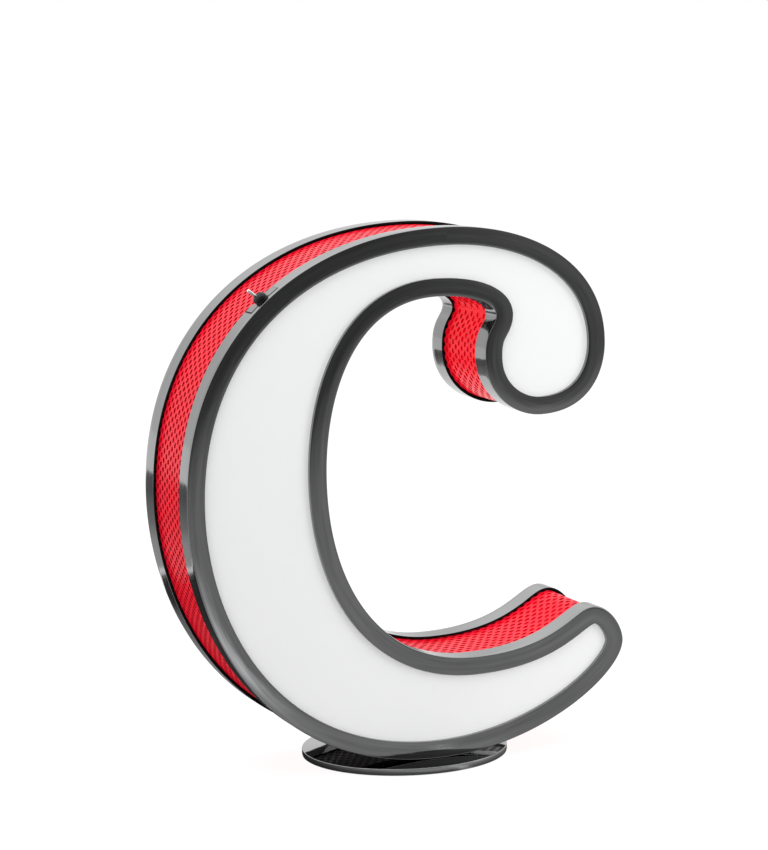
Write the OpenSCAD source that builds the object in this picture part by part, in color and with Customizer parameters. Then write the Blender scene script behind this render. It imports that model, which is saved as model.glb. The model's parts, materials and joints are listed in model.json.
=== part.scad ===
// Free-standing illuminated letter: two sheet frames with opal faces, a perforated
// band between them, a toggle switch in the side and a round base.
// Front face towards -Y, height along +Z, origin at the centre of the foot's underside.

/* [Letter] */
// Height of the letter without its base
letter_h = 461; // [445:1:480]
// Depth from the front face to the rear face
letter_d = 126; // [116:1:150]
// Reach of the round back to the left of the base centre
back_reach = 211; // [203:1:220]
// Reach of the ball end to the right of the base centre
ball_reach = 174; // [168:1:180]
// Reach of the tail to the right of the base centre
tail_reach = 186; // [179:1:193]
// Width of the stroke at the back
back_stroke = 124; // [112:1:132]
// Width of the stroke at the top
top_stroke = 59; // [54:1:66]
// Width of the stroke at the bottom
foot_stroke = 86; // [78:1:94]
// Width of the ball end
ball_w = 113; // [106:1:120]
// Drop from the top of the letter to the underside of the ball end
ball_drop = 167; // [160:1:178]
// Height of the tail's upper side
tail_top = 120; // [113:1:127]
// Width of the round of the tail's upper side
tail_round_w = 27; // [25:1:28]
// Height of the round at the end of the tail
tail_round_h = 32; // [31:1:36]
// Least bend radius round the tail
tail_bend = 17; // [16.5:0.5:18]
// Depth of the notch between the ball end and the stroke
notch_depth = 11; // [8:1:15]
// Drop of the notch below the top of the counter
notch_drop = 19; // [16:1:23]

/* [Frames] */
// Sheet thickness of the frames
sheet = 1.2; // [0.8:0.1:1.6]
// Width of the face of a frame
face_w = 15.5; // [15:0.5:16]
// Depth of the side return of a frame
return_d = 24; // [22:1:27]
// Set-back of the opal face behind the frame's face
recess = 4.5; // [3:0.5:6]

/* [Light box] */
// Thickness of the opal faces
diffuser_t = 3; // [2:0.5:4]
// Distance of the light box wall from the letter's edge
liner_inset = 11.6; // [11.4:0.1:12.4]
// Thickness of the light box wall
liner_t = 1.2; // [0.8:0.1:1.6]
// Thickness of the carrier plate
carrier_t = 3; // [2:0.5:5]
// Length of a light module
led_l = 32; // [24:1:38]
// Width of a light module
led_w = 14; // [10:1:16]
// Height of a light module
led_h = 4; // [3:0.5:6]
// Diameter of a lens on a light module
lens_d = 7; // [5:0.5:9]
// Diameter of a wire
wire_d = 1.4; // [1:0.1:1.8]

/* [Perforated band] */
// Distance of the band's outer side from the letter's edge
mesh_inset = 3.2; // [3:0.1:3.6]
// Sheet thickness of the band
mesh_t = 1; // [0.6:0.1:1.2]
// Depth of the edge profile that holds the band
seal_d = 20; // [17:1:21]
// Depth of the slot in the edge profile
slot_d = 5; // [4:0.5:6]
// Thickness of the edge profile behind the band
seal_lip = 1.2; // [1:0.1:1.4]

/* [Tie rods] */
// Diameter of a tie rod
rod_d = 3.8; // [3.6:0.1:4]
// Diameter of a frame screw
screw_d = 2.5; // [2:0.1:2.8]
// Length of a frame screw under its head
screw_l = 9; // [6:1:14]
// Diameter of a frame screw's head
screw_head_d = 5; // [4:0.5:5.5]
// Height of a frame screw's head
screw_head_h = 1.4; // [1:0.1:2]

/* [Switch] */
// Length of the notch in the side return
cutout_l = 32; // [28:1:36]
// Width of the strip of return in front of the notch
cutout_strip = 6.5; // [5:0.5:7.5]
// Overlap of the switch plate under the return
plate_lap = 3; // [2:0.5:3.5]
// Thickness of the switch plate
plate_t = 1.2; // [0.8:0.1:1.4]
// Length of the switch case
case_l = 13; // [12:0.5:15]
// Width of the switch case
case_w = 8; // [7:0.5:9]
// Depth of the switch case
case_h = 8.5; // [8.5:0.5:10]
// Diameter of the threaded neck
neck_d = 6; // [5.6:0.1:6.4]
// Height of the neck above the plate
neck_h = 5; // [4.5:0.1:5.4]
// Diameter of the round nut
nut_d = 11.4; // [10:0.2:12]
// Height of the round nut
nut_h = 2.6; // [2:0.1:3]
// Diameter of the dome over the neck
boot_d = 12; // [11.6:0.1:13]
// Height of the dome above the plate
boot_h = 8.2; // [7.8:0.1:9]
// Length of the lever from its pin to its tip
lever_l = 16; // [14:0.5:18]
// Diameter of the lever at its tip
lever_tip_d = 3; // [2.6:0.1:3.4]
// Diameter of the lever's shank
lever_shank_d = 2.3; // [2:0.1:2.4]
// Diameter of the lever's hinge pin
pin_d = 1.2; // [1:0.1:1.4]
// Lean of the lever to either side
lever_lean = 13; // [10:1:14]

/* [Inlet] */
// Thread diameter of the inlet
inlet_d = 8; // [7:0.5:8.5]
// Flange diameter of the inlet
inlet_flange_d = 11; // [10:0.5:12]
// Depth of the inlet inside the frame
inlet_depth = 10.5; // [9:0.5:10.8]
// Socket diameter of the inlet
socket_d = 5.7; // [5:0.1:6]

/* [Base] */
// Diameter of the base
base_d = 182; // [160:1:210]
// Thickness of the base
base_t = 6; // [5:0.5:10]
// Bevel round the base
base_bevel = 1.2; // [0.5:0.1:2]
// Diameter of the foot pad
pad_d = 170; // [140:1:178]
// Thickness of the foot pad
pad_t = 1.2; // [0.8:0.1:2]
// Length of the blocks over the base
saddle_l = 64; // [56:1:72]
// Width of the blocks over the base
saddle_w = 60; // [40:1:66]
// Thickness of the tapped plate
nut_plate_t = 6; // [5:0.5:8]
// Distance between the two base screws
base_screw_gap = 36; // [30:1:40]
// Diameter of a base screw
base_screw_d = 5; // [4:0.5:6]

/* [Fits] */
// Gap between pieces that nest in each other
fit = 0.2; // [0.1:0.05:0.25]
// Radial gap of the hinge pin in its bores
pin_play = 0.05; // [0.02:0.01:0.08]

/* [Hidden] */
$fn = 48;

// Letter outline, clockwise from the top as the front is seen. A row holds the
// place of a turning point, the heading there, and how far the curve follows
// that heading on the way in and on the way out, as a share of the step.
base_h = base_t + pad_t;
foot_x = 10;
back_z = 233;
counter_z = 251;
counter_low_x = 45;
counter_top_x = 18;
top_x = 28;
ball_side_drop = 106;
ball_back_drop = 115;
ball_low_back = 62;
ball_low_x = ball_reach - ball_low_back;
ball_x = ball_reach - ball_w;
counter_top = letter_h - top_stroke;
tail_x = tail_reach - tail_round_w;
tail_z = tail_top - tail_round_h;
tail_share = 0.37;
foot_share = 0.54;
tail_near = bend_reach(tail_top - foot_stroke) / (tail_x - counter_low_x);
tail_over = bend_reach(tail_round_h * (1 - tail_share)) / tail_round_w;
tail_under = bend_reach((tail_reach - foot_x) * (1 - foot_share)) / tail_z;
TURNS = [
    [top_x, letter_h, 0, 0.58, 0.49],
    [ball_reach, letter_h - ball_side_drop, 270, 0.69, 0.42],
    [ball_low_x, letter_h - ball_drop, 180, 0.77, 0.46],
    [ball_x, letter_h - ball_back_drop, 90, 0.65, 0.69],
    [ball_x + notch_depth, counter_top - notch_drop, 90, 0.27, 0.40],
    [counter_top_x, counter_top, 180, 0.70, 0.74],
    [back_stroke - back_reach, counter_z, 270, 0.46, 0.61],
    [counter_low_x, foot_stroke, 0, 0.61, 0.70],
    [tail_x, tail_top, 0, tail_near, tail_over],
    [tail_reach, tail_z, 270, tail_share, tail_under],
    [foot_x, 0, 180, foot_share, 0.68],
    [-back_reach, back_z, 90, 0.48, 0.62]];
turn_count = len(TURNS);
step_l = 14;
least_steps = 8;
over = 1;

// Depths along Y, mirrored for the rear
face_y = letter_d / 2;
web_y = face_y - sheet;
return_y = face_y - return_d;
lens_y = face_y - recess;
box_y = lens_y - diffuser_t;
seal_y = web_y - seal_d;
mesh_y = seal_y + slot_d - fit;

// Insets from the letter's edge
seal_outer = sheet + fit;
seal_inner = mesh_inset + mesh_t + seal_lip;
rod_inset = (seal_inner + liner_inset) / 2;
box_inset = liner_inset + liner_t;
carrier_inset = box_inset + fit;

// Tie rods: outline step and share of that step
ROD_SPOTS = [[0, 0.25], [1, 0.3], [3, 0.1], [5, 0.15], [5, 0.75], [6, 0.5], [7, 0.45], [9, 0.1],
    [9, 0.72], [10, 0.3], [10, 0.65], [11, 0.1], [11, 0.85]];
screw_head_top_d = 3.5;
screw_hole_d = screw_d + 2 * fit;
rod_bore_d = screw_d + 2 * pin_play;
rod_bore_l = screw_l - sheet + over;

// Light modules: outer outline step, inner outline step, count along the stroke and
// share of the step that stays free before the first one
LED_RUNS = [[9, 7, 2, 0.2], [10, 6, 5, 0], [11, 5, 5, 0], [0, 4, 3, 0], [1, 3, 1, 0]];
lens_h = 2.2;
lens_gap = led_l / 3;
wire_end_gap = 0.4;
share_step = 0.02;

// Switch, in a frame with X along the outline, Y along the depth and Z outwards
switch_step = 11;
switch_share = 0.531;
cutout_y = cutout_strip - face_y;
switch_y = (cutout_y - return_y) / 2;
plate_l = cutout_l + 2 * plate_lap;
plate_drop = sheet + fit + sag(switch_step, switch_share, plate_l / 2) + flat(switch_step, switch_share);
cover_t = 1;
case_wall = 1.2;
case_room = 1;
case_top = -plate_t - cover_t;
case_bottom = case_top - case_h;
pivot_z = 1;
neck_wall = 0.8;
ball_d = neck_d - 2 * neck_wall;
neck_bore_d = ball_d + 2 * pin_play;
tail_l = 5.9;
tail_d = 1.8;
pin_l = neck_d - fit;
nut_bevel = 0.5;
boot_bevel = 0.4;
boot_wall_h = 2.2;
boot_sweep = 60;
boot_slot_w = lever_shank_d + 3 * fit;
boot_slot_reach = (boot_h - pivot_z) * tan(lever_lean) + lever_shank_d / 2 + fit;
tail_gap = 0.6;
rocker_z = pivot_z - tail_l - tail_gap;
rocker_l = 8.4;
rocker_w = 3;
rocker_t = 0.5;
rib_d = 1.3;
rocker_ratio = -0.5;
blade_w = 2;
blade_t = 0.8;
blade_l = 4.5;
blade_gap = 3.4;
cradle_gap = 0.25;
contact_gap = 0.8;
cradle_z = rocker_z - rocker_t / 2 - cradle_gap;
contact_z = rocker_z - rocker_t / 2 - contact_gap;
switch_wire_z = case_bottom - blade_l + wire_d / 2;

// Inlet, in a frame of the same kind
inlet_step = 9;
inlet_share = 0.3;
inlet_setback = 9;
inlet_y = return_y + inlet_setback;
inlet_flange_t = 2;
inlet_nut_h = 2.2;
inlet_nut_w = 3;
inlet_nut_d = inlet_d + inlet_nut_w;
inlet_seat = fit / 4;
inlet_nut_top = -sheet - fit - sag(inlet_step, inlet_share, inlet_nut_d / 2) - flat(inlet_step, inlet_share);
socket_l = 9;
socket_pin_d = 2;
tag_gap = 3;
tag_w = 1.2;
tag_t = 0.6;
tag_l = 4.5;
inlet_wire_z = -inlet_depth - tag_l + wire_d / 2;
inlet_room = inlet_nut_d / 2 + over;

// Stack over the base
screw_room = 2 * fit;
base_screw_head_d = 9;
base_screw_head_h = 3;
nut_plate_top = base_h + box_inset + nut_plate_t;
saddle_x = foot_x - saddle_l / 2;

function bend_reach(side) = sqrt(2 / 3 * side * tail_bend);
function way(angle) = [cos(angle), sin(angle)];
function handles(i) =
    let (a = TURNS[i], b = TURNS[(i + 1) % turn_count])
    let (p = [a[0], a[1]], q = [b[0], b[1]], u = way(a[2]), v = way(b[2]))
    [p, p + u * a[4] * abs((q - p) * u), q - v * b[3] * abs((q - p) * v), q];
function spot(i, t) =
    let (h = handles(i))
    pow(1 - t, 3) * h[0] + 3 * pow(1 - t, 2) * t * h[1] + 3 * (1 - t) * t * t * h[2] + pow(t, 3) * h[3];
function drift(i, t) =
    let (h = handles(i))
    3 * pow(1 - t, 2) * (h[1] - h[0]) + 6 * (1 - t) * t * (h[2] - h[1]) + 3 * t * t * (h[3] - h[2]);
function turn_rate(i, t) =
    let (h = handles(i))
    6 * (1 - t) * (h[2] - 2 * h[1] + h[0]) + 6 * t * (h[3] - 2 * h[2] + h[1]);
function bend(i, t) =
    let (d = drift(i, t), c = turn_rate(i, t))
    pow(norm(d), 3) / abs(d[0] * c[1] - d[1] * c[0]);
function sag(i, t, half) = half * half / (2 * bend(i, t));
function flat(i, t) = step_l * step_l / (8 * bend(i, t));
function heading(i, t) = let (d = drift(i, t)) atan2(d[1], d[0]);
function inward(i, t) = let (d = drift(i, t) / norm(drift(i, t))) [d[1], -d[0]];
function lifted(p) = p + [0, base_h];
function inset_spot(i, t, inset) = lifted(spot(i, t) + inset * inward(i, t));
function steps(i) = max(least_steps, round(norm(handles(i)[3] - handles(i)[0]) / step_l));
function edge(inset) = [
    for (i = [0 : turn_count - 1], k = [0 : steps(i) - 1]) inset_spot(i, k / steps(i), inset)];
function run(first, count, inset) = concat(
    [for (n = [0 : count - 1]) let (i = (first + n) % turn_count)
        for (k = [0 : steps(i) - 1]) inset_spot(i, k / steps(i), inset)],
    [inset_spot((first + count) % turn_count, 0, inset)]);
function backwards(list) = [for (k = [len(list) - 1 : -1 : 0]) list[k]];
function middle(r, t) = lifted((spot(r[0], t) + spot(r[1], 1 - t)) / 2);
function led_spots() = [for (r = LED_RUNS, k = [0 : r[2] - 1])
    let (t = r[3] + (1 - r[3]) * (k + 0.5) / r[2])
    let (p = middle(r, t), d = middle(r, t + share_step) - middle(r, t - share_step))
    [p[0], p[1], atan2(d[1], d[0])]];

module slab(y0, y1) {
    translate([0, y1, 0])
        rotate([90, 0, 0])
            linear_extrude(y1 - y0)
                children();
}
module letter(inset) {
    polygon(edge(inset));
}
module ring(inset, width) {
    difference() {
        letter(inset);
        letter(inset + width);
    }
}
module at_edge(i, t, y) {
    p = inset_spot(i, t, 0);
    translate([p[0], y, p[1]])
        rotate([0, -heading(i, t), 0])
            children();
}
module at_switch() {
    at_edge(switch_step, switch_share, switch_y)
        translate([0, 0, -plate_drop])
            children();
}
module at_inlet() {
    at_edge(inlet_step, inlet_share, inlet_y)
        children();
}
module block(x0, x1, y0, y1, z0, z1) {
    translate([x0, y0, z0])
        cube([x1 - x0, y1 - y0, z1 - z0]);
}
module post(d, z0, z1) {
    translate([0, 0, z0])
        cylinder(d = d, h = z1 - z0);
}
module along_y(d, y0, y1) {
    translate([0, y1, 0])
        rotate([90, 0, 0])
            cylinder(d = d, h = y1 - y0);
}
module to_rear() {
    mirror([0, 1, 0])
        children();
}

// Frame with its face towards -Y
module frame_shape() {
    slab(-face_y, -web_y)
        ring(0, face_w);
    slab(-web_y, -return_y)
        ring(0, sheet);
    slab(-web_y, -lens_y)
        ring(face_w - sheet, sheet);
}
module front_trim() {
    color("#3a3c40")
        difference() {
            frame_shape();
            at_edge(switch_step, switch_share, 0)
                block(-cutout_l / 2, cutout_l / 2, cutout_y, over - return_y, -plate_drop, plate_drop);
        }
}
module rear_trim() {
    color("#3a3c40")
        difference() {
            to_rear()
                frame_shape();
            at_rods()
                along_y(screw_hole_d, web_y - over, face_y + over);
            at_inlet()
                post(inlet_d + 2 * fit, -inlet_depth, inlet_flange_t);
        }
}
module diffuser_shape() {
    slab(-lens_y, -box_y)
        letter(liner_inset);
}
module front_diffuser() {
    color("#eef0f0")
        diffuser_shape();
}
module rear_diffuser() {
    color("#eef0f0")
        to_rear()
            diffuser_shape();
}

// Perforated band: one strip round the outside, one in the counter
module strip(first, count) {
    slab(-mesh_y, mesh_y)
        polygon(concat(run(first, count, mesh_inset), backwards(run(first, count, mesh_inset + mesh_t))));
}
module outer_mesh() {
    color("#e0203a")
        difference() {
            strip(9, 7);
            switch_room();
            plate_room();
            inlet_space();
            base_screw_holes();
        }
}
module inner_mesh() {
    color("#e0203a")
        strip(4, 5);
}
module switch_room() {
    at_switch()
        block(-case_l / 2 - case_room, case_l / 2 + case_room, -face_y, case_w / 2 + case_room,
            case_bottom - blade_l - case_room, 0);
}
module plate_room() {
    at_switch()
        block(-plate_l / 2 - fit, plate_l / 2 + fit, -face_y, -return_y - switch_y, -liner_inset, plate_drop);
}
module inlet_space() {
    at_inlet()
        block(-inlet_room, inlet_room, -inlet_room, face_y, -inlet_depth, 0);
}
module seal_shape() {
    difference() {
        slab(-web_y, -seal_y)
            ring(seal_outer, seal_inner - seal_outer);
        slab(-seal_y - slot_d, over - seal_y)
            ring(mesh_inset - fit / 2, mesh_t + fit);
    }
}
module front_seal() {
    color("#141414")
        difference() {
            seal_shape();
            at_switch()
                block(-plate_l / 2 - case_room, plate_l / 2 + case_room, -face_y, face_y,
                    -liner_inset, plate_drop);
        }
}
module rear_seal() {
    color("#141414")
        difference() {
            to_rear()
                seal_shape();
            inlet_space();
        }
}

// Light box
module liner() {
    color("#8c1420")
        difference() {
            slab(-box_y, box_y)
                ring(liner_inset, liner_t);
            at_switch()
                block(-case_l / 2 - case_room, case_l / 2 + case_room, -case_w / 2 - case_room,
                    case_w / 2 + case_room, case_bottom - blade_l - case_room, 0);
            at_inlet()
                post(inlet_d, -inlet_depth - tag_l - over, 0);
            base_screw_holes();
        }
}
module at_rods() {
    for (r = ROD_SPOTS) {
        p = inset_spot(r[0], r[1], rod_inset);
        translate([p[0], 0, p[1]])
            children();
    }
}
module tie_rods() {
    color("#b8bcc0")
        at_rods()
            difference() {
                along_y(rod_d, -web_y, web_y);
                along_y(rod_bore_d, web_y - rod_bore_l, web_y + over);
            }
}
module frame_screws() {
    color("#3a3c40")
        at_rods() {
            along_y(screw_d, face_y - screw_l, face_y);
            translate([0, face_y, 0])
                rotate([-90, 0, 0])
                    cylinder(d1 = screw_head_d, d2 = screw_head_top_d, h = screw_head_h);
        }
}
module led_carrier() {
    color("#d8dadc")
        slab(-carrier_t / 2, carrier_t / 2)
            difference() {
                letter(carrier_inset);
                translate([saddle_x - case_room, 0])
                    square([saddle_l + 2 * case_room, nut_plate_top + case_room]);
            }
}

// Light modules on the front side of the carrier
module led_row() {
    for (s = led_spots())
        translate([s[0], -carrier_t / 2, s[1]])
            rotate([0, -s[2], 0]) {
                block(-led_l / 2, led_l / 2, -led_h, 0, -led_w / 2, led_w / 2);
                for (side = [-1, 0, 1])
                    translate([side * lens_gap, 0, 0])
                        along_y(lens_d, -led_h - lens_h, -led_h);
            }
}
module led_lead_row() {
    s = led_spots();
    for (k = [0 : len(s) - 2]) {
        reach = led_l / 2 + wire_end_gap;
        a = [s[k][0], s[k][1]] + reach * way(s[k][2]);
        b = [s[k + 1][0], s[k + 1][1]] - reach * way(s[k + 1][2]);
        angle = atan2(b[1] - a[1], b[0] - a[0]);
        translate([a[0], -carrier_t / 2 - wire_d / 2, a[1]])
            rotate([0, 90 - angle, 0])
                cylinder(d = wire_d, h = norm(b - a));
    }
}
module front_leds() {
    color("#f4f4ee")
        led_row();
}
module rear_leds() {
    color("#f4f4ee")
        to_rear()
            led_row();
}
module front_led_leads() {
    color("#202020")
        led_lead_row();
}
module rear_led_leads() {
    color("#202020")
        to_rear()
            led_lead_row();
}

// Toggle switch
module switch_plate() {
    color("#55585c")
        at_switch()
            difference() {
                block(-plate_l / 2, plate_l / 2, cutout_y - plate_lap - switch_y, -return_y - switch_y - fit,
                    -plate_t, 0);
                post(neck_d + fit, -plate_t - over, over);
            }
}
module switch_body() {
    color("#23415f")
        at_switch()
            difference() {
                block(-case_l / 2, case_l / 2, -case_w / 2, case_w / 2, case_bottom, case_top);
                block(case_wall - case_l / 2, case_l / 2 - case_wall, case_wall - case_w / 2,
                    case_w / 2 - case_wall, case_bottom + case_wall, case_top + over);
                for (x = [0, blade_gap])
                    translate([x, 0, 0])
                        block(-blade_w / 2 - fit / 4, blade_w / 2 + fit / 4, -blade_t / 2 - fit / 4,
                            blade_t / 2 + fit / 4, case_bottom - over, case_bottom + case_wall + over);
            }
}
module switch_bushing() {
    color("#c8ccd0")
        at_switch()
            difference() {
                union() {
                    block(-case_l / 2, case_l / 2, -case_w / 2, case_w / 2, case_top, -plate_t);
                    post(neck_d, -plate_t, neck_h);
                }
                post(neck_bore_d, case_top - over, neck_h + over);
                translate([0, 0, pivot_z])
                    along_y(pin_d + 2 * pin_play, -neck_d, neck_d);
            }
}
module switch_nut() {
    color("#1c1c1e")
        at_switch()
            difference() {
                rotate_extrude()
                    polygon([[0, 0], [nut_d / 2, 0], [nut_d / 2, nut_h - nut_bevel],
                        [nut_d / 2 - nut_bevel, nut_h], [0, nut_h]]);
                post(neck_d + 2 * pin_play, -over, nut_h + over);
            }
}
module switch_boot() {
    wall_z = nut_h + boot_wall_h;
    dome_r = boot_d / 2;
    color("#111112")
        at_switch()
            difference() {
                rotate_extrude()
                    polygon(concat([[0, nut_h], [dome_r - boot_bevel, nut_h], [dome_r, nut_h + boot_bevel]],
                        [for (a = [0 : 10 : boot_sweep])
                            [dome_r * cos(a), wall_z + (boot_h - wall_z) * sin(a) / sin(boot_sweep)]],
                        [[0, boot_h]]));
                post(neck_d + 2 * fit, nut_h - over, neck_h + fit);
                block(-boot_slot_reach, boot_slot_reach, -boot_slot_w / 2, boot_slot_w / 2,
                    nut_h, boot_h + over);
            }
}
module lever_frame() {
    at_switch()
        translate([0, 0, pivot_z])
            rotate([0, -lever_lean, 0])
                children();
}
module switch_lever() {
    tip_r = lever_tip_d / 2;
    shank_r = lever_shank_d / 2;
    ball_r = ball_d / 2;
    color("#e8eaec")
        lever_frame()
            difference() {
                rotate_extrude()
                    polygon(concat([[0, -tail_l], [tail_d / 2, -tail_l]],
                        [for (a = [-65 : 10 : 55]) [ball_r * cos(a), ball_r * sin(a)]],
                        [[shank_r, ball_r], [shank_r, neck_h], [tip_r, lever_l - tip_r]],
                        [for (a = [15 : 15 : 90]) [tip_r * cos(a), lever_l - tip_r + tip_r * sin(a)]]));
                along_y(pin_d + pin_play, -neck_d, neck_d);
            }
}
module switch_pin() {
    color("#b0b4b8")
        at_switch()
            translate([0, 0, pivot_z])
                along_y(pin_d, -pin_l / 2, pin_l / 2);
}
module switch_rocker() {
    color("#c89048")
        at_switch()
            translate([0, 0, rocker_z])
                rotate([0, -rocker_ratio * lever_lean, 0]) {
                    block(-rocker_l / 2, rocker_l / 2, -rocker_w / 2, rocker_w / 2,
                        -rocker_t / 2, rocker_t / 2);
                    difference() {
                        along_y(rib_d, -rocker_w / 2, rocker_w / 2);
                        block(-rib_d, rib_d, -rocker_w, rocker_w, 0, rib_d);
                    }
                }
}
module switch_terminals() {
    color("#c89048")
        at_switch() {
            difference() {
                block(-blade_w / 2, blade_w / 2, -blade_t / 2, blade_t / 2, case_bottom - blade_l, cradle_z);
                translate([0, 0, rocker_z])
                    along_y(rib_d + 2 * pin_play, -blade_t, blade_t);
            }
            translate([blade_gap, 0, 0])
                block(-blade_w / 2, blade_w / 2, -blade_t / 2, blade_t / 2, case_bottom - blade_l, contact_z);
        }
}
module switch_leads() {
    color("#202020")
        at_switch()
            for (x = [0, blade_gap])
                translate([x, 0, switch_wire_z])
                    along_y(wire_d, blade_t / 2, -switch_y - carrier_t / 2);
}

// Low-voltage inlet in the rear frame's return
module inlet_body() {
    color("#161618")
        at_inlet()
            difference() {
                union() {
                    post(inlet_flange_d, inlet_seat, inlet_seat + inlet_flange_t);
                    post(inlet_d, -inlet_depth, inlet_seat);
                }
                post(socket_d, inlet_seat + inlet_flange_t - socket_l, inlet_seat + inlet_flange_t + over);
            }
}
module inlet_nut() {
    color("#b8bcc0")
        at_inlet()
            difference() {
                translate([0, 0, inlet_nut_top - inlet_nut_h])
                    cylinder(d = inlet_nut_d, h = inlet_nut_h, $fn = 6);
                post(inlet_d + 2 * pin_play, -inlet_depth, over);
            }
}
module inlet_contacts() {
    floor_z = inlet_seat + inlet_flange_t - socket_l;
    color("#c8ccd0")
        at_inlet() {
            post(socket_pin_d, floor_z, -sheet);
            for (side = [-1, 1])
                translate([side * tag_gap / 2, 0, 0])
                    block(-tag_w / 2, tag_w / 2, -tag_t / 2, tag_t / 2, -inlet_depth - tag_l, -inlet_depth);
        }
}
module inlet_leads() {
    color("#202020")
        at_inlet()
            for (side = [-1, 1])
                translate([side * tag_gap / 2, 0, inlet_wire_z])
                    along_y(wire_d, carrier_t / 2 - inlet_y, -tag_t / 2);
}

// Base
module base_screw_spots() {
    for (side = [-1, 1])
        translate([foot_x + side * base_screw_gap / 2, 0, 0])
            children();
}
module base_screw_holes() {
    base_screw_spots()
        post(base_screw_d + screw_room, 0, nut_plate_top + over);
}
module base_plate() {
    r = base_d / 2;
    color("#4a4c50")
        difference() {
            rotate_extrude($fn = 120)
                polygon([[0, pad_t], [r - base_bevel, pad_t], [r, pad_t + base_bevel],
                    [r, base_h - base_bevel], [r - base_bevel, base_h], [0, base_h]]);
            base_screw_holes();
            base_screw_spots()
                post(base_screw_head_d + screw_room, pad_t - over, pad_t + base_screw_head_h);
        }
}
module foot_pad() {
    color("#202022")
        cylinder(d = pad_d, h = pad_t, $fn = 120);
}
module saddle_zone(top) {
    translate([saddle_x, base_h])
        square([saddle_l, top - base_h]);
}
module base_saddle() {
    color("#4a4c50")
        difference() {
            slab(-saddle_w / 2, saddle_w / 2)
                difference() {
                    saddle_zone(nut_plate_top);
                    letter(mesh_inset - fit / 2);
                }
            base_screw_holes();
        }
}
module base_spacer() {
    color("#b8bcc0")
        difference() {
            slab(-saddle_w / 2, saddle_w / 2)
                intersection() {
                    saddle_zone(nut_plate_top);
                    ring(mesh_inset + mesh_t + fit / 2, liner_inset - mesh_inset - mesh_t - fit);
                }
            base_screw_holes();
        }
}
module nut_plate() {
    color("#b8bcc0")
        difference() {
            slab(-saddle_w / 2, saddle_w / 2)
                intersection() {
                    saddle_zone(nut_plate_top);
                    letter(box_inset + fit / 2);
                }
            base_screw_spots()
                post(base_screw_d + 2 * pin_play, 0, nut_plate_top + over);
        }
}
module base_screws() {
    color("#b8bcc0")
        base_screw_spots() {
            post(base_screw_head_d, pad_t + fit, pad_t + base_screw_head_h);
            post(base_screw_d, pad_t + base_screw_head_h, nut_plate_top);
        }
}

front_trim();
rear_trim();
front_diffuser();
rear_diffuser();
outer_mesh();
inner_mesh();
front_seal();
rear_seal();
liner();
tie_rods();
frame_screws();
led_carrier();
front_leds();
rear_leds();
front_led_leads();
rear_led_leads();
switch_plate();
switch_body();
switch_bushing();
switch_pin();
switch_nut();
switch_boot();
switch_lever();
switch_rocker();
switch_terminals();
switch_leads();
inlet_body();
inlet_nut();
inlet_contacts();
inlet_leads();
base_plate();
foot_pad();
base_saddle();
base_spacer();
nut_plate();
base_screws();
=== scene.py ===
"""Looks of a free-standing illuminated letter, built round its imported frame.

Metres, front face towards -Y, height along +Z, origin under the middle of the round foot.
"""
import json
import math

import bmesh
import bpy
import numpy as np
from mathutils import Matrix, Vector


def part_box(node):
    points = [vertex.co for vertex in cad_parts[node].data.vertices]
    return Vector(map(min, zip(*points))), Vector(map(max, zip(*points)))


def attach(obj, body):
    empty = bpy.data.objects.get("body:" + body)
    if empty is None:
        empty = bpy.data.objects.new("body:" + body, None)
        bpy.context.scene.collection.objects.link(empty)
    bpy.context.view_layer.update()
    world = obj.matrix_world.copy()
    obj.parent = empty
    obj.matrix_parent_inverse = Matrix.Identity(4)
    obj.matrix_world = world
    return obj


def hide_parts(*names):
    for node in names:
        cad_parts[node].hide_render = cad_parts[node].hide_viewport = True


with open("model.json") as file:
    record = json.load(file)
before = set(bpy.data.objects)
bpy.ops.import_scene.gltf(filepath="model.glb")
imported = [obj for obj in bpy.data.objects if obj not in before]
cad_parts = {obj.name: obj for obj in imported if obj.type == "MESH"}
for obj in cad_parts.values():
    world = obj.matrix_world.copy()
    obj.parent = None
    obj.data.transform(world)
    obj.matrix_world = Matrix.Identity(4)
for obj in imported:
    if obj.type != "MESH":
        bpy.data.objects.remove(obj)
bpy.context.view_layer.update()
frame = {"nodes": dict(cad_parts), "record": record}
MM = 0.001

# Sizes read from the frame
trim_low, trim_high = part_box("front_trim")
LETTER_Z = trim_low.z
LETTER_H = trim_high.z - trim_low.z
BACK_REACH = -trim_low.x
TAIL_REACH = trim_high.x
FACE_Y = -trim_low.y
RETURN_D = trim_high.y - trim_low.y
LENS_Y = -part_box("front_diffuser")[0].y
LENS_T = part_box("front_diffuser")[1].y + LENS_Y
BAND_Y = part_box("outer_mesh")[1].y
BASE_LOW, BASE_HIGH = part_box("base_plate")

# Sizes of the sheet work
SHEET = 1.2 * MM
FACE_W = 15.5 * MM
FACE_CROWN = 0.16 * MM
FOLD_R = 0.5 * MM
LIP_R = 0.2 * MM
EDGE_R = 0.25 * MM
LENS_INSET = 11.6 * MM
BAND_INSET = 3.2 * MM
BAND_T = 0.7 * MM
ROD_INSET = 8.5 * MM
SEAL_Y = 41.8 * MM

# Tight places where the fold is rounder: place along the outline, reach and added radius
ROUND_FOLDS = ((4.35, 0.12, 1.0 * MM), (6.68, 0.1, 0.8 * MM), (8.2, 0.3, 1.7 * MM), (9.95, 0.25, 0.9 * MM))

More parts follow.
